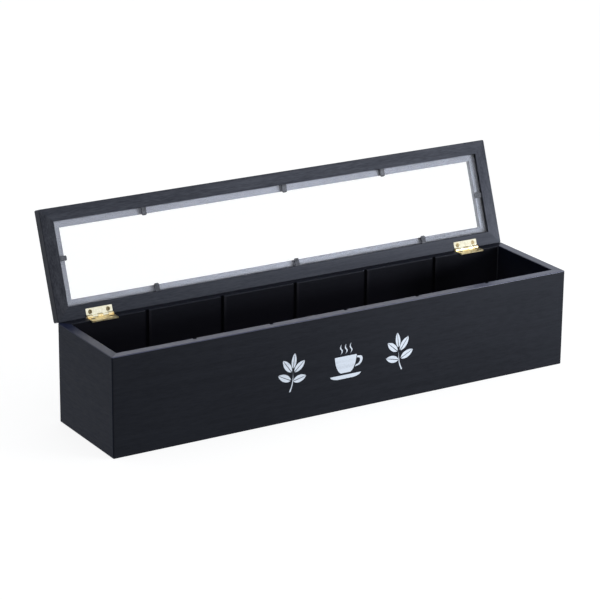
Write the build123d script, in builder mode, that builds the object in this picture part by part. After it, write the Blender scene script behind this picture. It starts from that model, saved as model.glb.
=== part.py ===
"""Tea bag organizer box, shown with its lid standing open.

A long painted wooden box of mitred boards with a let-in base and loose dividers that
drop into grooves, under a glazed mitred lid on two brass butt hinges.

X runs along the box, -Y is its front, +Z is up, and the origin is the middle of its
underside. Lengths are in millimetres and angles in degrees.
"""

from build123d import *
from math import cos, radians, sin
import os

os.makedirs("parts", exist_ok=True)

# Box body
body_length = 430.0
body_depth = 93.0
body_height = 83.5
wall_thickness = 8.0
corner_radius = 1.2  # the upright outer corners of the body and of the lid
arris_radius = 0.6  # the sanded long edges
base_thickness = 4.0
base_rabbet_depth = 4.0  # how far the base is let into each wall
base_clearance = 0.2

# Dividers
compartments = 6
divider_thickness = 3.0
divider_height = 46.0
groove_depth = 2.5
groove_side_clearance = 0.15
divider_end_clearance = 0.25
divider_seat_clearance = 0.1
divider_arris_radius = 0.4

# Lid
lid_thickness = 9.0
lid_end_inset = 0.25  # the lid is this much short of the body at each end
lid_front_reveal = 1.7  # the rim that shows in front of the shut lid
frame_face_width = 11.0  # the underside's band, from the lid's edge to the rebate
glass_ledge_width = 5.5
glass_thickness = 2.0
glass_recess = 2.3  # from the underside down to the glass
glass_clearance = 0.5
glass_bed_clearance = 0.1
open_angle = 110.0  # from shut to the stop, where the hinge edge meets the rim

# Hinges
hinge_length = 23.5
hinge_end_distance = 37.3  # from the body's end to the middle of the hinge
pivot_inset = 0.65  # the pin axis, in from the body's back face
lid_edge_overhang = 0.3  # how far the lid runs past the pin axis
barrel_radius = 1.4
leaf_thickness = 1.1
body_leaf_width = 9.5
lid_leaf_width = 7.0
leaf_corner_radius = 0.6
knuckles = 5
knuckle_gap = 0.2
pin_radius = 0.7
pin_running_clearance = 0.05
pin_head_radius = 1.0
pin_head_height = 0.5
pin_head_clearance = 0.1
barrel_clearance = 0.3
mortise_clearance = 0.15

# Countersunk hinge screws
screw_spacing = 16.0
screw_offset = 4.0  # from the pin axis
screw_head_radius = 1.7
screw_head_depth = 0.2  # how far the heads sit below the leaf
screw_shank_radius = 0.9
screw_length = 7.0
screw_point_length = 2.0
screw_fit_clearance = 0.05
pilot_extra_depth = 0.3
countersink_angle = 90.0
recess_length = 1.9
recess_width = 0.6
recess_depth = 0.5

# Glazing tabs, set by hand along the rebate
front_rail_tabs = (-122.5, 10.0, 107.5)
back_rail_tabs = (-122.5, 10.0, 137.0)
left_stile_tab = 49.5  # from the pin axis, up the lid
right_stile_tab = 43.5
tab_width = 4.2
tab_thickness = 0.7
tab_overlap = 1.2  # how far a tab reaches past the ledge over the pane
tab_embed = 4.0  # the length driven into the wood
tab_rise = 0.6  # from the glass to the tab at its root
tab_flat_length = 1.2  # the straight length at each end of the bend
tab_glass_clearance = 0.05
tab_corner_radius = 1.2
tab_slit_clearance = 0.03

# Places that follow from the sizes above
inner_length = body_length - 2 * wall_thickness
inner_depth = body_depth - 2 * wall_thickness
compartment_pitch = (inner_length + divider_thickness) / compartments
groove_width = divider_thickness + 2 * groove_side_clearance

half_hinge_gap = barrel_radius - leaf_thickness
pivot_y = body_depth / 2 - pivot_inset
pivot_z = body_height + half_hinge_gap
hinge_x = body_length / 2 - hinge_end_distance
leaf_plate_start = barrel_radius + barrel_clearance
mortise_length = hinge_length + 2 * mortise_clearance
barrel_recess_length = hinge_length + 2 * (pin_head_clearance + pin_head_height + barrel_clearance)
knuckle_pitch = hinge_length / knuckles
knuckle_length = knuckle_pitch - knuckle_gap
bore_radius = pin_radius + pin_running_clearance

lid_length = body_length - 2 * lid_end_inset
lid_depth = body_depth - pivot_inset + lid_edge_overhang - lid_front_reveal
lid_hinge_edge = -lid_edge_overhang
lid_free_edge = lid_hinge_edge + lid_depth
lid_middle = (lid_hinge_edge + lid_free_edge) / 2
rebate_length = lid_length - 2 * frame_face_width
rebate_depth = lid_depth - 2 * frame_face_width
window_length = rebate_length - 2 * glass_ledge_width
window_depth = rebate_depth - 2 * glass_ledge_width
rail_width = frame_face_width + glass_ledge_width
pin_head_dome_radius = (pin_head_radius**2 + pin_head_height**2) / (2 * pin_head_height)
pilot_radius = screw_shank_radius + screw_fit_clearance
pilot_depth = screw_head_depth + screw_length + pilot_extra_depth
countersink_radius = screw_head_radius + screw_head_depth + screw_fit_clearance
cutter_margin = 5.0  # how far a cutting shape runs past what it cuts

# The lid's own plane: its origin is on the pin axis, X is along the box, Y runs up the
# open lid from the hinges to the free edge, and Z points out of the lid's underside.
lid_lean = radians(open_angle - 90)
lid_plane = Plane(
    origin=(0, pivot_y, pivot_z), x_dir=(1, 0, 0), z_dir=(0, -cos(lid_lean), sin(lid_lean))
)
lid_underside = lid_plane.offset(-half_hinge_gap)
lid_outside = lid_underside.offset(-lid_thickness)
glass_face = lid_underside.offset(-glass_recess)
glass_bed = glass_face.offset(-glass_thickness)
glass_ledge = glass_bed.offset(-glass_bed_clearance)

# The body leaf's plane: the same axis, with Y running forward over the rim and Z up.
body_leaf_plane = Plane(origin=(0, pivot_y, pivot_z), x_dir=(-1, 0, 0), z_dir=(0, 0, 1))


def finish(part, name):
    """Name a finished piece and write it out under that name."""
    part.label = name
    export_step(part, f"parts/{name}.step")


def mitre_wedge(length, depth, board_width, side):
    """Corners of a flat shape that keeps one mitred side of a frame."""
    out_x = length / 2 + cutter_margin
    out_y = depth / 2 + cutter_margin
    in_x = length / 2 - board_width - cutter_margin
    in_y = depth / 2 - board_width - cutter_margin
    along_x = [(-out_x, out_y), (out_x, out_y), (in_x, in_y), (-in_x, in_y)]
    along_y = [(out_x, out_y), (out_x, -out_y), (in_x, -in_y), (in_x, in_y)]
    corners = {
        "back": along_x,
        "front": [(x, -y) for x, y in along_x],
        "right": along_y,
        "left": [(-x, y) for x, y in along_y],
    }
    return corners[side]


# The body's four walls, shaped as one mitred frame: sanded edges, a rabbet for the
# base, grooves for the dividers, and seats in the back rim for the hinges.
with BuildPart() as body_frame:
    with BuildSketch(Plane.XY):
        RectangleRounded(body_length, body_depth, corner_radius)
        Rectangle(inner_length, inner_depth, mode=Mode.SUBTRACT)
    extrude(amount=body_height)
    fillet(body_frame.faces().sort_by(Axis.Z)[-1].edges(), arris_radius)
    fillet(body_frame.faces().sort_by(Axis.Z)[0].outer_wire().edges(), arris_radius)

    with BuildSketch(Plane.XY):
        Rectangle(inner_length + 2 * base_rabbet_depth, inner_depth + 2 * base_rabbet_depth)
    extrude(amount=base_thickness, mode=Mode.SUBTRACT)

    with BuildSketch(Plane.XY.offset(base_thickness)):
        with GridLocations(compartment_pitch, inner_depth, compartments - 1, 2):
            Rectangle(groove_width, 2 * groove_depth)
    extrude(amount=body_height, mode=Mode.SUBTRACT)

    with BuildSketch(Plane.XY.offset(body_height - leaf_thickness)):
        with GridLocations(2 * hinge_x, 0, 2, 1):
            with Locations((0, body_depth / 2)):
                Rectangle(mortise_length, 2 * (wall_thickness + cutter_margin))
    extrude(amount=body_height, mode=Mode.SUBTRACT)

    with BuildSketch(Plane.XY.offset(body_height - leaf_thickness - barrel_clearance)):
        with GridLocations(2 * hinge_x, 0, 2, 1):
            with Locations((0, pivot_y - leaf_plate_start)):
                Rectangle(barrel_recess_length, body_depth, align=(Align.CENTER, Align.MIN))
    extrude(amount=body_height, mode=Mode.SUBTRACT)

    with BuildSketch(Plane.XY.offset(body_height)):
        with Locations((0, pivot_y - screw_offset)):
            with GridLocations(2 * hinge_x, 0, 2, 1):
                with GridLocations(screw_spacing, 0, 2, 1):
                    Circle(pilot_radius)
    extrude(amount=-pilot_depth, mode=Mode.SUBTRACT)

for side, name in (
    ("front", "front_panel"),
    ("back", "back_panel"),
    ("left", "left_end_panel"),
    ("right", "right_end_panel"),
):
    with BuildPart() as panel:
        add(body_frame.part)
        with BuildSketch(Plane.XY.offset(-cutter_margin)):
            Polygon(*mitre_wedge(body_length, body_depth, wall_thickness, side), align=None)
        extrude(amount=body_height + 2 * cutter_margin, mode=Mode.INTERSECT)
    finish(panel.part, name)

# The base board, let into the walls and flush with their lower edges.
with BuildPart() as base_panel:
    with BuildSketch(Plane.XY):
        Rectangle(
            inner_length + 2 * (base_rabbet_depth - base_clearance),
            inner_depth + 2 * (base_rabbet_depth - base_clearance),
        )
    extrude(amount=base_thickness)
finish(base_panel.part, "base_panel")

# The dividers, each dropped into its pair of grooves and loose in them.
for number in range(1, compartments):
    divider_x = (number - compartments / 2) * compartment_pitch
    with BuildPart() as divider:
        with BuildSketch(Plane.XY.offset(base_thickness + divider_seat_clearance)):
            with Locations((divider_x, 0)):
                Rectangle(
                    divider_thickness, inner_depth + 2 * (groove_depth - divider_end_clearance)
                )
        extrude(amount=divider_height)
        fillet(divider.faces().sort_by(Axis.Z)[-1].edges().filter_by(Axis.Y), divider_arris_radius)
    finish(divider.part, f"divider_{number}")

# The lid's frame, shaped as one: sanded edges, a stepped rebate for the glass, seats
# for the hinges and slits for the glazing tabs.
with BuildPart() as glazing_tab:
    tab_reach = glass_ledge_width + tab_overlap
    bend_end = tab_reach - tab_flat_length
    with BuildSketch(Plane.XZ):
        with BuildLine():
            Polyline(
                (-tab_embed, tab_rise),
                (tab_flat_length, tab_rise),
                (bend_end, tab_glass_clearance),
                (tab_reach, tab_glass_clearance),
                (tab_reach, tab_glass_clearance + tab_thickness),
                (bend_end, tab_glass_clearance + tab_thickness),
                (tab_flat_length, tab_rise + tab_thickness),
                (-tab_embed, tab_rise + tab_thickness),
                close=True,
            )
        make_face()
    extrude(amount=tab_width / 2, both=True)
    fillet(glazing_tab.edges().filter_by(Axis.Z).group_by(Axis.X)[-1], tab_corner_radius)

# Each tab's place on the face of the glass, turned to point in over the pane.
rebate_half = rebate_length / 2
tab_stations = (
    [Location((x, lid_middle + rebate_depth / 2, 0), (0, 0, -90)) for x in front_rail_tabs]
    + [Location((x, lid_middle - rebate_depth / 2, 0), (0, 0, 90)) for x in back_rail_tabs]
    + [Location((-rebate_half, left_stile_tab, 0), (0, 0, 0))]
    + [Location((rebate_half, right_stile_tab, 0), (0, 0, 180))]
)
tab_places = [glass_face.location * station for station in tab_stations]

with BuildPart() as lid_frame:
    with BuildSketch(lid_outside):
        with Locations((0, lid_middle)):
            RectangleRounded(lid_length, lid_depth, corner_radius)
            Rectangle(window_length, window_depth, mode=Mode.SUBTRACT)
    extrude(amount=lid_thickness)
    across_lid = Axis((0, 0, 0), lid_plane.z_dir)
    fillet(lid_frame.faces().sort_by(across_lid)[0].edges(), arris_radius)
    fillet(lid_frame.faces().sort_by(across_lid)[-1].outer_wire().edges(), arris_radius)

    with BuildSketch(glass_ledge):
        with Locations((0, lid_middle)):
            Rectangle(rebate_length, rebate_depth)
    extrude(amount=lid_thickness, mode=Mode.SUBTRACT)

    with BuildSketch(lid_underside.offset(-leaf_thickness)):
        with GridLocations(2 * hinge_x, 0, 2, 1):
            with Locations((0, lid_leaf_width + mortise_clearance)):
                Rectangle(
                    mortise_length,
                    lid_leaf_width + mortise_clearance + cutter_margin,
                    align=(Align.CENTER, Align.MAX),
                )
    extrude(amount=lid_thickness, mode=Mode.SUBTRACT)

    with BuildSketch(lid_plane.offset(-barrel_radius - barrel_clearance)):
        with GridLocations(2 * hinge_x, 0, 2, 1):
            with Locations((0, leaf_plate_start)):
                Rectangle(
                    barrel_recess_length,
                    leaf_plate_start + cutter_margin,
                    align=(Align.CENTER, Align.MAX),
                )
    extrude(amount=lid_thickness, mode=Mode.SUBTRACT)

    with BuildSketch(lid_underside):
        with Locations((0, screw_offset)):
            with GridLocations(2 * hinge_x, 0, 2, 1):
                with GridLocations(screw_spacing, 0, 2, 1):
                    Circle(pilot_radius)
    extrude(amount=-pilot_depth, mode=Mode.SUBTRACT)

    with Locations(*tab_places):
        with Locations((0, 0, tab_rise - tab_slit_clearance)):
            Box(
                tab_embed + tab_slit_clearance,
                tab_width + 2 * tab_slit_clearance,
                tab_thickness + 2 * tab_slit_clearance,
                align=(Align.MAX, Align.CENTER, Align.MIN),
                mode=Mode.SUBTRACT,
            )

for side, name in (
    ("front", "lid_back_rail"),
    ("back", "lid_front_rail"),
    ("left", "lid_left_stile"),
    ("right", "lid_right_stile"),
):
    with BuildPart() as rail:
        add(lid_frame.part)
        with BuildSketch(lid_outside.offset(-cutter_margin)):
            with Locations((0, lid_middle)):
                Polygon(*mitre_wedge(lid_length, lid_depth, rail_width, side), align=None)
        extrude(amount=lid_thickness + 2 * cutter_margin, mode=Mode.INTERSECT)
    finish(rail.part, name)

# The pane, lying on the ledge with a little room all round.
with BuildPart() as lid_glass:
    with BuildSketch(glass_bed):
        with Locations((0, lid_middle)):
            Rectangle(rebate_length - 2 * glass_clearance, rebate_depth - 2 * glass_clearance)
    extrude(amount=glass_thickness)
finish(lid_glass.part, "lid_glass")

# The bent steel tabs that hold the pane down, driven into the rebate's wall.
with BuildPart() as glazing_tabs:
    with Locations(*tab_places):
        add(glazing_tab.part)
finish(glazing_tabs.part, "glazing_tabs")


def hinge_leaf(plane, leaf_width, own_knuckles):
    """One hinge leaf. The plane's origin is the middle of the pin axis, its X runs along
    the pin, its Y across the leaf, and its Z points at the other leaf when shut."""
    knuckle_places = [
        plane.location * Location(((index - (knuckles - 1) / 2) * knuckle_pitch, 0, 0))
        for index in own_knuckles
    ]
    with BuildPart() as leaf:
        with BuildSketch(plane.offset(-barrel_radius)) as plate:
            with Locations((0, leaf_width)):
                Rectangle(
                    hinge_length,
                    leaf_width - leaf_plate_start,
                    align=(Align.CENTER, Align.MAX),
                )
            fillet(plate.vertices().group_by(Axis.Y)[-1], leaf_corner_radius)
        extrude(amount=leaf_thickness)
        with Locations(*knuckle_places):
            Cylinder(barrel_radius, knuckle_length, rotation=(0, 90, 0))
            with Locations((0, 0, -barrel_radius)):
                Box(
                    knuckle_length,
                    leaf_plate_start,
                    leaf_thickness,
                    align=(Align.CENTER, Align.MIN, Align.MIN),
                )
        with Locations(plane.location):
            Cylinder(bore_radius, 2 * hinge_length, rotation=(0, 90, 0), mode=Mode.SUBTRACT)
        with Locations(plane.offset(-half_hinge_gap).location):
            with Locations((-screw_spacing / 2, screw_offset), (screw_spacing / 2, screw_offset)):
                CounterSinkHole(
                    screw_shank_radius + screw_fit_clearance,
                    countersink_radius,
                    counter_sink_angle=countersink_angle,
                )
    return leaf.part


def hinge_pin(plane):
    """A plain pin with a low domed head at each end of the barrel."""
    neck = hinge_length / 2 + pin_head_clearance
    tip = neck + pin_head_height
    with BuildPart() as pin:
        with BuildSketch(plane):
            with BuildLine():
                Polyline(
                    (-neck, pin_head_radius),
                    (-neck, pin_radius),
                    (neck, pin_radius),
                    (neck, pin_head_radius),
                )
                RadiusArc((neck, pin_head_radius), (tip, 0), pin_head_dome_radius)
                Line((tip, 0), (-tip, 0))
                RadiusArc((-tip, 0), (-neck, pin_head_radius), pin_head_dome_radius)
            make_face()
        revolve(axis=Axis(plane.origin, plane.x_dir))
    return pin.part


# The two butt hinges: outer and middle knuckles on the body, the rest on the lid.
for side, middle_x in (("left", -hinge_x), ("right", hinge_x)):
    across = Location((middle_x, 0, 0))
    body_plane = Plane(across * body_leaf_plane.location)
    swung_plane = Plane(across * lid_plane.location)
    body_leaf = hinge_leaf(body_plane, body_leaf_width, range(0, knuckles, 2))
    lid_leaf = hinge_leaf(swung_plane, lid_leaf_width, range(1, knuckles, 2))
    finish(body_leaf, f"{side}_hinge_body_leaf")
    finish(lid_leaf, f"{side}_hinge_lid_leaf")
    finish(hinge_pin(body_plane), f"{side}_hinge_pin")

# A countersunk wood screw with a cross recess, head up at the origin.
head_height = screw_head_radius - screw_shank_radius
with BuildPart() as wood_screw:
    with BuildSketch(Plane.XZ):
        with BuildLine():
            Polyline(
                (0, 0),
                (screw_head_radius, 0),
                (screw_shank_radius, -head_height),
                (screw_shank_radius, screw_point_length - screw_length),
                (0, -screw_length),
                close=True,
            )
        make_face()
    revolve(axis=Axis.Z)
    Box(
        recess_length,
        recess_width,
        recess_depth,
        align=(Align.CENTER, Align.CENTER, Align.MAX),
        mode=Mode.SUBTRACT,
    )
    Box(
        recess_width,
        recess_length,
        recess_depth,
        align=(Align.CENTER, Align.CENTER, Align.MAX),
        mode=Mode.SUBTRACT,
    )

for plane, name in (
    (body_leaf_plane, "body_hinge_screws"),
    (lid_plane, "lid_hinge_screws"),
):
    head_level = plane.offset(-half_hinge_gap - screw_head_depth).location
    places = [
        head_level * Location((hinge + screw, screw_offset, 0))
        for hinge in (-hinge_x, hinge_x)
        for screw in (-screw_spacing / 2, screw_spacing / 2)
    ]
    with BuildPart() as screws:
        with Locations(*places):
            add(wood_screw.part)
    finish(screws.part, name)
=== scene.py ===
"""Finishes and surroundings for the tea bag organizer box, laid over its solid parts.

Lengths are in metres. X runs along the box, -Y is its front, and +Z is up.
"""

import bpy
from math import radians
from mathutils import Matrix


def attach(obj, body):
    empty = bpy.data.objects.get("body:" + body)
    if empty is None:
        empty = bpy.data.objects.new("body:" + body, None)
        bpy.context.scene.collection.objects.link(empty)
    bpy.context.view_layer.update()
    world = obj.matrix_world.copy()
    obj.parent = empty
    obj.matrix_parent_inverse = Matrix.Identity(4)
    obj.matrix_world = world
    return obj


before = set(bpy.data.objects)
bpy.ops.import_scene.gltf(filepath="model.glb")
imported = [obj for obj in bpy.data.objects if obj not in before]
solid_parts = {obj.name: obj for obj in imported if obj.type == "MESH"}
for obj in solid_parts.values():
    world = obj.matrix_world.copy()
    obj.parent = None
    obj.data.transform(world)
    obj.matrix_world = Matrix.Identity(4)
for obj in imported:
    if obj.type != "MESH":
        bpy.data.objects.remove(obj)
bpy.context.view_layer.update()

# ---------------------------------------------------------------------------------------
# Walls: four planed softwood boards, mitred and glued into a long box. They are sprayed
# inside and out with thin satin black paint that lets the grain show faintly.

ALONG_BOX = (0.0, 0.0, 0.0)
ACROSS_BOX = (0.0, 0.0, radians(90))
wall_black = (0.005, 0.0056, 0.0074)
wall_black_thin = (0.0092, 0.0102, 0.0131)
# The end walls' black is bluer than the front's, a painted cool reflection on the ends.
end_black = (0.0038, 0.0052, 0.0108)
end_black_thin = (0.0064, 0.0085, 0.0162)
# The inside's black is darker than the outside walls' black, a painted shade of the box's inside.
# The back wall, base and dividers all take it.
inside_shaded_black = (0.0042, 0.0044, 0.0062)
inside_shaded_black_thin = (0.0072, 0.0076, 0.0106)
# The paint's reflections are tinted blue, a painted cool reflection.
cool_reflection_tint = (0.78, 0.83, 1.0, 1.0)
grain_stretch = (28.0, 1.0, 1.0)
fibre_stretch = (9.0, 1.0, 1.0)

rim_height = 0.0829  # the rim's flat top lies above this
rim_shine_span = (0.045, -0.005)  # where the rim's coat begins and is full, from the hinges forward
inner_face = 0.0387  # just outside the long walls' inner faces
end_inner_face = 0.2072  # the same for the end walls
# Lighter black low down inside, from where it begins to where it is full: painted light.
inside_low_lit_black = (0.0145, 0.0138, 0.0195)  # low down inside
light_fade_top = 0.0835
light_fade_full = 0.052
groove_lit_black = (0.0155, 0.0153, 0.0195)  # painted light beside the grooves, on a groove's lit side wall
groove_pitch = 0.0695
groove_floor = 0.0409
groove_lit_strip = (0.0026, 0.0011)  # its middle from a groove's middle, and its half width
shadow_black = (0.0012, 0.0012, 0.0018)  # a painted shadow on the back wall's inner face
shadow_middle = 0.138
shadow_fade = (0.045, 0.012)  # how far from its middle it begins, and is full
shadow_share = 0.6
corner_black = (0.05, 0.052, 0.062)  # beside the inside corners
corner_strip = (0.2064, 0.0006)  # its middle along the box, and its half width


def new_finish(name):
    """A material holding only its surface shader and output."""
    finish = bpy.data.materials.new(name)
    finish.use_nodes = True
    return finish, finish.node_tree, finish.node_tree.nodes["Principled BSDF"]


def add_step(tree, kind, values=None, **settings):
    """One node, with its settings and the fixed values of its inputs."""
    step = tree.nodes.new(kind)
    for setting, value in settings.items():
        setattr(step, setting, value)
    for socket, value in (values or {}).items():
        step.inputs[socket].default_value = value
    return step


def join(tree, source, output, target, socket):
    """Wire one node's output into another node's input."""
    tree.links.new(source.outputs[output], target.inputs[socket])


def lay_pattern(tree, turn, stretch=(1.0, 1.0, 1.0)):
    """Object coordinates turned and stretched so that a pattern lies along a piece."""
    place = add_step(tree, "ShaderNodeTexCoord")
    lie = add_step(tree, "ShaderNodeMapping", vector_type="TEXTURE")
    lie.inputs["Rotation"].default_value = turn
    lie.inputs["Scale"].default_value = stretch
    join(tree, place, "Object", lie, "Vector")
    return lie


def add_noise(tree, lie, scale, detail, roughness=0.5):
    """A noise pattern on coordinates that are already laid."""
    values = {"Scale": scale, "Detail": detail, "Roughness": roughness}
    pattern = add_step(tree, "ShaderNodeTexNoise", values)
    join(tree, lie, "Vector", pattern, "Vector")
    return pattern


def blend(tree, first, second, share):
    """A share of the second pattern mixed into the first."""
    mixed = add_step(tree, "ShaderNodeMix", {"Factor": share}, data_type="FLOAT")
    join(tree, first, 0, mixed, "A")
    join(tree, second, 0, mixed, "B")
    return mixed


def slope(tree, source, output, span, reach=(0.0, 1.0)):
    """A value that changes evenly over the span, from one end of its reach to the other."""
    values = {"From Min": span[0], "From Max": span[1], "To Min": reach[0], "To Max": reach[1]}
    ramp = add_step(tree, "ShaderNodeMapRange", values)
    join(tree, source, output, ramp, "Value")
    return ramp


def colour_pattern(tree, pattern, dark, light, span):
    """Colour the surface from dark to light as the pattern crosses the span."""
    shades = add_step(tree, "ShaderNodeValToRGB")
    for number, colour in enumerate((dark, light)):
        shades.color_ramp.elements[number].position = span[number]
        shades.color_ramp.elements[number].color = (*colour, 1.0)
    join(tree, pattern, 0, shades, "Fac")
    join(tree, shades, "Color", tree.nodes["Principled BSDF"], "Base Color")


def vary_gloss(tree, pattern, gloss, span=(0.3, 0.7)):
    """Let the surface's roughness follow a pattern."""
    sheen = slope(tree, pattern, 0, span, gloss)
    join(tree, sheen, "Result", tree.nodes["Principled BSDF"], "Roughness")


def emboss(tree, pattern, strength, height):
    """Raise a pattern in low relief, on top of any relief the surface already has."""
    normal = tree.nodes["Principled BSDF"].inputs["Normal"]
    relief = add_step(tree, "ShaderNodeBump", {"Strength": strength, "Distance": height})
    if normal.is_linked:
        join(tree, normal.links[0].from_node, "Normal", relief, "Normal")
    join(tree, pattern, 0, relief, "Height")
    tree.links.new(relief.outputs["Normal"], normal)


def painted_wood(name, dark, light, turn, shine=0.1, gloss=(0.36, 0.5)):
    """Thin satin paint over planed wood whose grain runs along the turned X direction."""
    finish, tree, surface = new_finish(name)
    surface.inputs["Specular IOR Level"].default_value = shine
    surface.inputs["Specular Tint"].default_value = cool_reflection_tint
    grain = lay_pattern(tree, turn, grain_stretch)
    fibre = lay_pattern(tree, turn, fibre_stretch)
    even = lay_pattern(tree, turn)
    rings = add_noise(tree, grain, scale=230.0, detail=4.0, roughness=0.6)
    pores = add_noise(tree, fibre, scale=1300.0, detail=3.0, roughness=0.55)
    mottle = add_noise(tree, even, scale=900.0, detail=2.0)
    clouds = add_noise(tree, even, scale=14.0, detail=2.0)

    # The paint is a touch thinner, and so lighter, on the raised lines of the grain.
    cloudy_rings = blend(tree, rings, clouds, share=0.3)
    streaks = blend(tree, cloudy_rings, pores, share=0.42)
    colour_pattern(tree, streaks, dark, light, span=(0.38, 0.62))
    vary_gloss(tree, pores, gloss)
    emboss(tree, rings, strength=0.55, height=0.00012)
    emboss(tree, pores, strength=0.35, height=0.00006)
    emboss(tree, mottle, strength=0.25, height=0.00004)
    return finish


def dress(part_names, finish):
    """Give solid parts their finish in place of the plain one they come with."""
    for part_name in part_names:
        for slot in solid_parts[part_name].material_slots:
            slot.material = finish


def object_place(tree):
    """A step that gives X, Y and Z in the part's own frame."""
    place = add_step(tree, "ShaderNodeTexCoord")
    parts = add_step(tree, "ShaderNodeSeparateXYZ")
    join(tree, place, "Object", parts, "Vector")
    return parts


def reckon(tree, operation, source, output, *numbers):
    """One sum or test on a value, with fixed numbers for its other inputs."""
    fixed = dict(enumerate(numbers, start=1))
    step = add_step(tree, "ShaderNodeMath", fixed, operation=operation)
    join(tree, source, output, step, 0)
    return step


def overlap(tree, first, second):
    """The product of two masks."""
    product = reckon(tree, "MULTIPLY", first, 0)
    join(tree, second, 0, product, 1)
    return product


def paint_over(tree, mask, colour):
    """Lay one more colour over the paint, as far as the mask lets it."""
    base_colour = tree.nodes["Principled BSDF"].inputs["Base Color"]
    coat = add_step(tree, "ShaderNodeMixRGB", {"Color2": (*colour, 1.0)})
    join(tree, mask, 0, coat, "Fac")
    join(tree, base_colour.links[0].from_node, "Color", coat, "Color1")
    tree.links.new(coat.outputs["Color"], base_colour)
    return coat


def lighten_inside_low(finish, across, face):
    """Lighten an inner face toward the bottom, as painted light where little light reaches down
    into the box.
    """
    tree = finish.node_tree
    place = object_place(tree)
    depth = slope(tree, place, "Z", (light_fade_top, light_fade_full))
    either_side = reckon(tree, "ABSOLUTE", place, across)
    inner = reckon(tree, "LESS_THAN", either_side, 0, face)
    paint_over(tree, overlap(tree, depth, inner), inside_low_lit_black)


def light_groove_sides(finish):
    """Lighten a strip along one side of each groove, a painted highlight where the groove's side
    wall catches the light.
    """
    tree = finish.node_tree
    place = object_place(tree)
    from_groove = reckon(tree, "WRAP", place, "X", groove_pitch / 2, -groove_pitch / 2)
    beside = reckon(tree, "COMPARE", from_groove, 0, *groove_lit_strip)
    below_rim = reckon(tree, "LESS_THAN", place, "Z", rim_height)
    above_floor = reckon(tree, "LESS_THAN", place, "Y", groove_floor)
    inside = overlap(tree, below_rim, above_floor)
    paint_over(tree, overlap(tree, inside, beside), groove_lit_black)


def shade_back_stretch(finish):
    """Darken one stretch of the back wall's inner face with a painted shadow."""
    tree = finish.node_tree
    place = object_place(tree)
    from_middle = reckon(tree, "SUBTRACT", place, "X", shadow_middle)
    away = reckon(tree, "ABSOLUTE", from_middle, 0)
    stretch = slope(tree, away, 0, shadow_fade, (0.0, shadow_share))
    inner = reckon(tree, "LESS_THAN", place, "Y", groove_floor)
    paint_over(tree, overlap(tree, stretch, inner), shadow_black)


def lighten_corner_strips(finish):
    """Lighten the paint in a strip beside each glued inside corner."""
    tree = finish.node_tree
    place = object_place(tree)
    either_end = reckon(tree, "ABSOLUTE", place, "X")
    near = reckon(tree, "COMPARE", either_end, 0, *corner_strip)
    inner = reckon(tree, "LESS_THAN", place, "Y", inner_face)
    paint_over(tree, overlap(tree, near, inner), corner_black)


def paint_rim_highlight(finish, rim_shine, rim_highlight_black):
    """Give a wall's rim a clear coat that changes over the span and a lighter colour, a painted
    highlight where the rim catches the light.
    """
    tree = finish.node_tree
    surface = tree.nodes["Principled BSDF"]
    surface.inputs["Coat Roughness"].default_value = 0.3
    place = object_place(tree)
    on_rim = reckon(tree, "GREATER_THAN", place, "Z", rim_height)
    shine_ramp = slope(tree, place, "Y", rim_shine_span, rim_shine)
    join(tree, overlap(tree, on_rim, shine_ramp), "Value", surface, "Coat Weight")
    paint_over(tree, on_rim, rim_highlight_black)


front_paint = painted_wood("front_paint", wall_black, wall_black_thin, ALONG_BOX)
# The back wall takes the darker inside black, a painted shade of the box's inside.
back_paint = painted_wood("back_paint", inside_shaded_black, inside_shaded_black_thin, ALONG_BOX)
left_paint = painted_wood("left_paint", end_black, end_black_thin, ACROSS_BOX, shine=0.06)
right_paint = painted_wood("right_paint", end_black, end_black_thin, ACROSS_BOX, shine=0.06)
lighten_inside_low(front_paint, "Y", inner_face)
lighten_inside_low(back_paint, "Y", inner_face)
lighten_inside_low(left_paint, "X", end_inner_face)
lighten_inside_low(right_paint, "X", end_inner_face)
light_groove_sides(back_paint)
shade_back_stretch(back_paint)
lighten_corner_strips(back_paint)
# Each rim's lighter colour is a painted highlight, and its coat is set wall by wall to the light
# it catches.
paint_rim_highlight(front_paint, rim_shine=(0.75, 0.75), rim_highlight_black=(0.035, 0.039, 0.079))
paint_rim_highlight(back_paint, rim_shine=(0.1, 0.1), rim_highlight_black=(0.008, 0.009, 0.014))
paint_rim_highlight(left_paint, rim_shine=(0.03, 0.54), rim_highlight_black=(0.014, 0.018, 0.042))
paint_rim_highlight(right_paint, rim_shine=(0.7, 0.7), rim_highlight_black=(0.022, 0.025, 0.05))
dress(("front_panel",), front_paint)
dress(("back_panel",), back_paint)
dress(("left_end_panel",), left_paint)
dress(("right_end_panel",), right_paint)

# ---------------------------------------------------------------------------------------
# Front print: a cup between two sprigs of tea, screen printed in pale grey ink. It is a
# thin film on the front wall, and the wood's grain breaks it up a little.

MM = 0.001
front_face = -0.0465
print_height = 0.0415
left_sprig_x = -0.054
cup_x = -0.0035
right_sprig_x = 0.0485
film_half = 0.000015
film_stand_off = 0.000012  # from the wall's face to the film's middle
weld_distance = 0.000001
ink_pale = (0.66, 0.72, 0.8)
ink_worn = (0.5, 0.545, 0.61)


def start_print(name):
    """An empty flat curve, lying in X and Y, that fills its outlines."""
    bpy.ops.object.select_all(action="DESELECT")
    bpy.ops.curve.primitive_bezier_circle_add(location=(0.0, 0.0, 0.0))
    drawing = bpy.context.object
    drawing.name = name
    drawing.data.dimensions = "2D"
    drawing.data.fill_mode = "BOTH"
    drawing.data.extrude = film_half
    drawing.data.resolution_u = 8
    drawing.data.splines.clear()
    return drawing


def add_outline(drawing, count):
    """The points of one more closed outline, still unplaced."""
    spline = drawing.data.splines.new("BEZIER")
    spline.bezier_points.add(count - 1)
    spline.use_cyclic_u = True
    return spline.bezier_points


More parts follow.
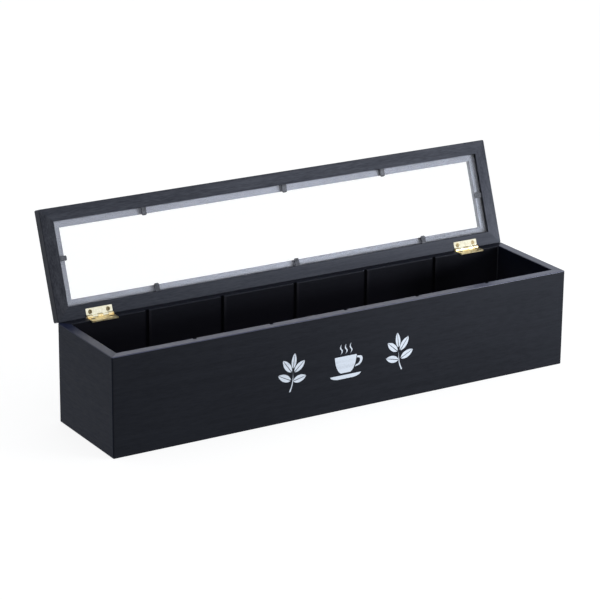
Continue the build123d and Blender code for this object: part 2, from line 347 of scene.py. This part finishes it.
def draw_outline(drawing, points):
    """One closed outline. A point is its place and its two handles, in millimetres."""
    for knot, (place, before, after) in zip(add_outline(drawing, len(points)), points):
        knot.handle_left_type = "FREE"
        knot.handle_right_type = "FREE"
        knot.co = (place[0] * MM, place[1] * MM, 0.0)
        knot.handle_left = (before[0] * MM, before[1] * MM, 0.0)
        knot.handle_right = (after[0] * MM, after[1] * MM, 0.0)


def draw_smooth(drawing, places, sharp):
    """One closed outline through places, with a corner at each one listed as sharp."""
    for number, (knot, place) in enumerate(zip(add_outline(drawing, len(places)), places)):
        kind = "VECTOR" if number in sharp else "AUTO"
        knot.handle_left_type = kind
        knot.handle_right_type = kind
        knot.co = (place[0] * MM, place[1] * MM, 0.0)


def draw_leaf(drawing, root, tip, width):
    """A pointed leaf as two halves, with the bare midrib between them."""
    rib = 0.28  # half the bare midrib, in millimetres
    along = (tip[0] - root[0], tip[1] - root[1])
    length = (along[0] ** 2 + along[1] ** 2) ** 0.5
    aside = (-along[1] / length, along[0] / length)
    for hand in (1, -1):

        def at(share, out):
            return (
                root[0] + along[0] * share + hand * aside[0] * out,
                root[1] + along[1] * share + hand * aside[1] * out,
            )

        base = (at(0.0, rib), at(0.33, rib), at(0.22, width))
        point = (at(1.0, rib * 0.4), at(0.72, width * 0.95), at(0.67, rib))
        draw_outline(drawing, (base, point))


def put_on_front(drawing, middle_x):
    """Turn a finished drawing into a film of mesh and lay it on the front wall."""
    bpy.ops.object.select_all(action="DESELECT")
    drawing.select_set(True)
    bpy.context.view_layer.objects.active = drawing
    bpy.ops.object.convert(target="MESH")
    bpy.ops.object.mode_set(mode="EDIT")
    bpy.ops.mesh.select_all(action="SELECT")
    bpy.ops.mesh.remove_doubles(threshold=weld_distance)
    bpy.ops.mesh.normals_make_consistent(inside=False)
    bpy.ops.object.mode_set(mode="OBJECT")
    film = bpy.context.object
    film.rotation_euler = (radians(90), 0.0, 0.0)
    film.location = (middle_x, front_face - film_stand_off, print_height)
    bpy.ops.object.transform_apply(location=True, rotation=True, scale=True)
    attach(film, "box")
    return film


def tea_sprig(name, hand, middle_x):
    """A tea shoot: a bud, two pairs of leaves and a bent stem."""
    drawing = start_print(name)
    leaves = (
        ((0.9, 3.4), (2.4, 16.2), 3.0),
        ((-0.6, 0.6), (-8.6, 11.4), 3.9),
        ((2.0, 0.2), (11.6, 8.6), 3.9),
        ((-1.4, -6.4), (-13.0, -0.6), 4.1),
        ((0.9, -7.4), (13.0, -4.6), 4.1),
    )
    for root, tip, width in leaves:
        draw_leaf(drawing, (hand * root[0], root[1]), (hand * tip[0], tip[1]), width)
    stem_right = ((0.75, 2.3), (0.55, -4.0), (-0.45, -10.0), (-2.9, -16.2))
    stem_left = ((-1.7, -16.2), (0.4, -10.0))
    draw_smooth(drawing, [(hand * x, y) for x, y in stem_right + stem_left], (0, 3, 4))
    return put_on_front(drawing, middle_x)


def tea_cup(name, middle_x):
    """A cup on its saucer, with steam above."""
    drawing = start_print(name)
    bowl = (
        ((-10.4, 5.0), (-10.4, 3.0), (-3.5, 5.0)),
        ((10.4, 5.0), (3.5, 5.0), (10.4, 3.0)),
        ((4.6, -9.2), (9.4, -6.6), (1.5, -9.2)),
        ((-4.6, -9.2), (-1.5, -9.2), (-9.4, -6.6)),
    )
    draw_outline(drawing, bowl)
    ear_outside = ((10.9, 3.6), (15.6, 2.2), (14.6, -3.4), (9.0, -5.6))
    ear_inside = ((9.5, -4.2), (12.9, -2.4), (13.4, 1.0), (10.9, 2.1))
    draw_smooth(drawing, ear_outside + ear_inside, (0, 3, 4, 7))
    saucer = (
        ((-14.8, -11.0), (-14.0, -13.0), (-5.0, -11.0)),
        ((14.8, -11.0), (5.0, -11.0), (14.0, -13.0)),
        ((6.5, -14.2), (10.0, -14.2), (2.0, -14.2)),
        ((-6.5, -14.2), (-2.0, -14.2), (-10.0, -14.2)),
    )
    draw_outline(drawing, saucer)
    for shift in (-4.6, 0.0, 4.6):
        steam = ((0.0, 7.0), (0.9, 9.6), (-0.7, 12.4), (0.5, 15.8), (0.35, 12.7), (1.9, 9.6))
        draw_smooth(drawing, [(x + shift - 0.3, y) for x, y in steam], (0, 3))
    return put_on_front(drawing, middle_x)


ink, ink_tree, ink_surface = new_finish("print_ink")
ink_surface.inputs["Specular IOR Level"].default_value = 0.2
ink_grain = lay_pattern(ink_tree, ALONG_BOX, grain_stretch)
ink_even = lay_pattern(ink_tree, ALONG_BOX)
ink_lines = add_noise(ink_tree, ink_grain, scale=230.0, detail=4.0)
ink_specks = add_noise(ink_tree, ink_even, scale=1500.0, detail=3.0)
ink_wear = blend(ink_tree, ink_lines, ink_specks, share=0.45)
colour_pattern(ink_tree, ink_wear, ink_worn, ink_pale, span=(0.3, 0.48))
vary_gloss(ink_tree, ink_specks, gloss=(0.4, 0.6), span=(0.0, 1.0))
emboss(ink_tree, ink_lines, strength=0.4, height=0.00008)
for film in (
    tea_sprig("print_sprig_left", 1, left_sprig_x),
    tea_cup("print_cup", cup_x),
    tea_sprig("print_sprig_right", -1, right_sprig_x),
):
    film.data.materials.append(ink)

# ---------------------------------------------------------------------------------------
# Base: one thin board let into a rabbet round the walls and glued. Its paint is the
# walls' darker inside black, a painted shade, a little flatter because it is handled less.

dress(
    ("base_panel",),
    painted_wood("base_paint", inside_shaded_black, inside_shaded_black_thin, ALONG_BOX, gloss=(0.45, 0.6)),
)

# ---------------------------------------------------------------------------------------
# Dividers: five thin boards that drop into grooves in the front and back walls and lift
# out by hand. They are painted before they go in, and their top edges are eased.

# Their black is the darker inside black, a painted shade.
dress(
    [f"divider_{number}" for number in range(1, 6)],
    painted_wood(
        "divider_paint", inside_shaded_black, inside_shaded_black_thin, ACROSS_BOX, gloss=(0.42, 0.56)
    ),
)

# ---------------------------------------------------------------------------------------
# Lid frame: four softwood mouldings rebated for the pane and mitred at the corners, in
# black paint like the walls', each piece's black lighter or darker as painted light and shade.
# The ledge under the pane has only its pale primer, darker or paler in places as painted
# shade and light.

lid_lean = radians(20)
lid_pivot = (0.0, 0.04585, 0.0838)
UP_LID = (-lid_lean, radians(-90), 0.0)
# Each lid piece has its own black, lighter or darker to paint in the light and shade it gets.
top_black = (0.011, 0.012, 0.016)
top_black_thin = (0.0445, 0.0475, 0.0575)
low_black = (0.006, 0.007, 0.0105)
low_black_thin = (0.0315, 0.034, 0.0415)
left_black = (0.023, 0.0245, 0.031)
left_black_thin = (0.056, 0.0585, 0.0695)
right_black = (0.0025, 0.003, 0.0055)
right_black_thin = (0.041, 0.0435, 0.053)
primer_grey = (0.194, 0.201, 0.24)
# The darker primers are painted shade toward the lamp at the right, and the pale one is painted
# light on the edge inside the right stile's ledge.
primer_shaded = (0.125, 0.1295, 0.155)
primer_deep_shaded = (0.1, 0.104, 0.125)
primer_right_shaded = (0.148, 0.153, 0.183)
primer_lit = (0.47, 0.485, 0.55)
primer_shade_span = (-0.01, 0.17)  # where along the box the primer turns darker, as painted shade
ledge_edge = (-0.00505, -0.00515)  # how deep the ledge ends and the edge inside it begins

# The primed faces as middles and half widths, measured in the lid's plane from the pins:
# along the box, up the lid, and out of its underside.
primed_length = (0.0, 0.2036)
primed_height = (0.04495, 0.03465)
primed_depth = (-0.0066, 0.00196)


def lid_paint(
    name,
    dark,
    light,
    turn,
    shine,
    primers=(primer_grey, primer_shaded),
    axis="X",
    change=primer_shade_span,
):
    """Paint that stops at the primed faces, whose primer changes from one shade to another along
    an axis, as painted light and shade.
    """
    finish = painted_wood(name, dark, light, turn, shine=shine)
    tree = finish.node_tree
    place = add_step(tree, "ShaderNodeTexCoord")
    flat = add_step(tree, "ShaderNodeMapping", vector_type="TEXTURE")
    flat.inputs["Location"].default_value = lid_pivot
    flat.inputs["Rotation"].default_value = (radians(90) - lid_lean, 0.0, 0.0)
    parts = add_step(tree, "ShaderNodeSeparateXYZ")
    join(tree, place, "Object", flat, "Vector")
    join(tree, flat, "Vector", parts, "Vector")
    length = reckon(tree, "COMPARE", parts, "X", *primed_length)
    height = reckon(tree, "COMPARE", parts, "Y", *primed_height)
    depth = reckon(tree, "COMPARE", parts, "Z", *primed_depth)
    primed = overlap(tree, overlap(tree, length, height), depth)
    primer = add_step(
        tree,
        "ShaderNodeMixRGB",
        {"Color1": (*primers[0], 1.0), "Color2": (*primers[1], 1.0)},
    )
    join(tree, slope(tree, parts, axis, change), "Result", primer, "Fac")
    coat = paint_over(tree, primed, primers[0])
    join(tree, primer, "Color", coat, "Color2")
    return finish


front_rail_paint = lid_paint(
    "front_rail_paint", top_black, top_black_thin, ALONG_BOX, shine=0.24
)
back_rail_paint = lid_paint(
    "back_rail_paint",
    low_black,
    low_black_thin,
    ALONG_BOX,
    shine=0.2,
    primers=(primer_grey, primer_deep_shaded),
)
left_stile_paint = lid_paint(
    "left_stile_paint", left_black, left_black_thin, UP_LID, shine=0.06
)
right_stile_paint = lid_paint(
    "right_stile_paint",
    right_black,
    right_black_thin,
    UP_LID,
    shine=0.26,
    primers=(primer_right_shaded, primer_lit),
    axis="Z",
    change=ledge_edge,
)
dress(("lid_front_rail",), front_rail_paint)
dress(("lid_back_rail",), back_rail_paint)
dress(("lid_left_stile",), left_stile_paint)
dress(("lid_right_stile",), right_stile_paint)

# ---------------------------------------------------------------------------------------
# Pane: clear float glass lying on the frame's ledge. It lets the light through to the
# box, and both of its faces mirror the studio.

glass_tint = (0.985, 0.993, 0.99, 1.0)
shadow_tint = (0.95, 0.965, 0.96, 1.0)
pane, pane_tree, pane_surface = new_finish("pane_glass")
pane_surface.inputs["Base Color"].default_value = glass_tint
pane_surface.inputs["Transmission Weight"].default_value = 1.0
pane_surface.inputs["IOR"].default_value = 1.5
pane_surface.inputs["Roughness"].default_value = 0.0
pane_even = lay_pattern(pane_tree, ALONG_BOX)
pane_waves = add_noise(pane_tree, pane_even, scale=18.0, detail=1.0)
emboss(pane_tree, pane_waves, strength=0.2, height=0.00002)
pane_clear = add_step(pane_tree, "ShaderNodeBsdfTransparent", {"Color": shadow_tint})
pane_rays = add_step(pane_tree, "ShaderNodeLightPath")
pane_choice = add_step(pane_tree, "ShaderNodeMixShader")
join(pane_tree, pane_rays, "Is Shadow Ray", pane_choice, "Fac")
join(pane_tree, pane_surface, "BSDF", pane_choice, 1)
join(pane_tree, pane_clear, "BSDF", pane_choice, 2)
join(pane_tree, pane_choice, "Shader", pane_tree.nodes["Material Output"], "Surface")
dress(("lid_glass",), pane)

# ---------------------------------------------------------------------------------------
# Glazing tabs: eight short strips of blackened steel pressed into the rebate's wall,
# with a step down to the pane.

steel_black = (0.028, 0.03, 0.036)
steel_scuffed = (0.1, 0.105, 0.122)
tab_finish, tab_tree, tab_surface = new_finish("blackened_steel")
tab_surface.inputs["Metallic"].default_value = 0.2
tab_surface.inputs["Specular IOR Level"].default_value = 0.35
tab_even = lay_pattern(tab_tree, ALONG_BOX)
tab_scuffs = add_noise(tab_tree, tab_even, scale=700.0, detail=4.0)
colour_pattern(tab_tree, tab_scuffs, steel_black, steel_scuffed, span=(0.35, 0.75))
vary_gloss(tab_tree, tab_scuffs, gloss=(0.35, 0.65), span=(0.0, 1.0))
emboss(tab_tree, tab_scuffs, strength=0.4, height=0.00008)
dress(("glazing_tabs",), tab_finish)

# ---------------------------------------------------------------------------------------
# Hinges: pressed brass butts with rolled knuckles, let into the rim and the lid. The
# pins are brass rod, headed over at both ends.

rolling_stretch = (22.0, 1.0, 1.0)


def brass(name, dark, light, gloss):
    """Thinly lacquered rolled brass with fine lines along the box."""
    finish, tree, surface = new_finish(name)
    surface.inputs["Metallic"].default_value = 1.0
    lines = lay_pattern(tree, ALONG_BOX, rolling_stretch)
    even = lay_pattern(tree, ALONG_BOX)
    rolled = add_noise(tree, lines, scale=3200.0, detail=3.0)
    tarnish = add_noise(tree, even, scale=420.0, detail=4.0, roughness=0.6)
    colour_pattern(tree, tarnish, dark, light, span=(0.32, 0.6))
    vary_gloss(tree, rolled, gloss)
    emboss(tree, rolled, strength=0.3, height=0.00005)
    return finish


dress(
    ("left_hinge_lid_leaf", "right_hinge_lid_leaf"),
    brass("lid_leaf_brass", (0.89, 0.81, 0.56), (1.0, 0.94, 0.71), gloss=(0.05, 0.14)),
)
# The body leaves' brass is darker and more golden than the lid leaves', a painted reflection of
# the dark lid and box above them.
dress(
    ("left_hinge_body_leaf", "right_hinge_body_leaf"),
    brass("body_leaf_brass", (0.66, 0.48, 0.2), (0.97, 0.84, 0.52), gloss=(0.26, 0.4)),
)
dress(
    ("left_hinge_pin", "right_hinge_pin"),
    brass("pin_brass", (0.55, 0.38, 0.17), (0.75, 0.6, 0.35), gloss=(0.25, 0.4)),
)

# ---------------------------------------------------------------------------------------
# Hinge screws: small countersunk brass wood screws, two through each leaf, darker than
# the leaves as painted shade from the countersinks they sit in.

dress(
    ("body_hinge_screws", "lid_hinge_screws"),
    brass("screw_brass", (0.07, 0.055, 0.027), (0.2, 0.16, 0.085), gloss=(0.25, 0.4)),
)

# ---------------------------------------------------------------------------------------
# Studio: a plain pale table that the box stands on, in an even pale room. Both look white
# to the camera and cooler to polished surfaces.

floor_size = 14.0
table_grey = (0.35, 0.35, 0.35, 1.0)
plain_white = (1.0, 1.0, 1.0, 1.0)
cool_white = (0.87, 0.91, 1.0, 1.0)
room_white = (0.95, 0.97, 1.0, 1.0)


def choose_by_ray(tree, plain, mirrored, seen):
    """One shader for what is seen straight or through glass, one for mirrors, one for the rest."""
    rays = add_step(tree, "ShaderNodeLightPath")
    straight = reckon(tree, "MAXIMUM", rays, "Is Camera Ray")
    unseen = add_step(tree, "ShaderNodeMixShader")
    choice = add_step(tree, "ShaderNodeMixShader")
    join(tree, rays, "Is Transmission Ray", straight, 1)
    join(tree, rays, "Is Glossy Ray", unseen, "Fac")
    join(tree, plain, 0, unseen, 1)
    join(tree, mirrored, 0, unseen, 2)
    join(tree, straight, "Value", choice, "Fac")
    join(tree, unseen, "Shader", choice, 1)
    join(tree, seen, 0, choice, 2)
    return choice


bpy.ops.object.select_all(action="DESELECT")
bpy.ops.mesh.primitive_plane_add(size=floor_size, location=(0.0, 0.0, 0.0))
table_top = bpy.context.object
table_top.name = "table_top"
table_finish, table_tree, table_surface = new_finish("table_white")
table_surface.inputs["Base Color"].default_value = table_grey
table_surface.inputs["Roughness"].default_value = 0.9
table_surface.inputs["Specular IOR Level"].default_value = 0.0
table_glow = add_step(table_tree, "ShaderNodeEmission", {"Strength": 0.82})
table_cool = add_step(table_tree, "ShaderNodeEmission", {"Color": cool_white, "Strength": 0.84})
table_none = add_step(table_tree, "ShaderNodeEmission", {"Strength": 0.0})
table_choice = choose_by_ray(table_tree, table_none, table_cool, table_glow)
table_sum = add_step(table_tree, "ShaderNodeAddShader")
join(table_tree, table_surface, "BSDF", table_sum, 0)
join(table_tree, table_choice, "Shader", table_sum, 1)
join(table_tree, table_sum, "Shader", table_tree.nodes["Material Output"], "Surface")
table_top.data.materials.append(table_finish)

room = bpy.data.worlds.new("pale_room")
bpy.context.scene.world = room
room.use_nodes = True
room_tree = room.node_tree
room_light = room_tree.nodes["Background"]
room_light.inputs["Color"].default_value = room_white
room_light.inputs["Strength"].default_value = 0.56
room_seen = add_step(room_tree, "ShaderNodeBackground", {"Color": plain_white})
room_cool = add_step(room_tree, "ShaderNodeBackground", {"Color": cool_white})
room_choice = choose_by_ray(room_tree, room_light, room_cool, room_seen)
join(room_tree, room_choice, "Shader", room_tree.nodes["World Output"], "Surface")

# ---------------------------------------------------------------------------------------
# Light: one large soft lamp at the front right, as low as the box. With the pale room it
# is all the light there is.

bpy.ops.object.light_add(type="AREA", location=(0.62, -0.6, 0.12))
front_lamp = bpy.context.object
front_lamp.name = "front_lamp"
front_lamp.data.shape = "RECTANGLE"
front_lamp.data.size = 0.55
front_lamp.data.size_y = 0.2
front_lamp.data.energy = 7.4
front_lamp.data.color = room_white[:3]
front_lamp.rotation_euler = (radians(86), 0.0, radians(46))

# ---------------------------------------------------------------------------------------
# Camera: a long lens about two metres off at the front left, looking a little down at
# the box and its open lid.

bpy.ops.object.camera_add(
    location=(-1.05494, -1.68826, 0.7547),
    rotation=(radians(71.2726), radians(-0.5169), radians(-31.3614)),
)
camera = bpy.context.object
camera.name = "camera"
camera.data.sensor_width = 36.0
camera.data.lens = 154.104
camera.data.clip_end = 40.0
bpy.context.scene.camera = camera
bpy.context.scene.view_settings.view_transform = "Standard"
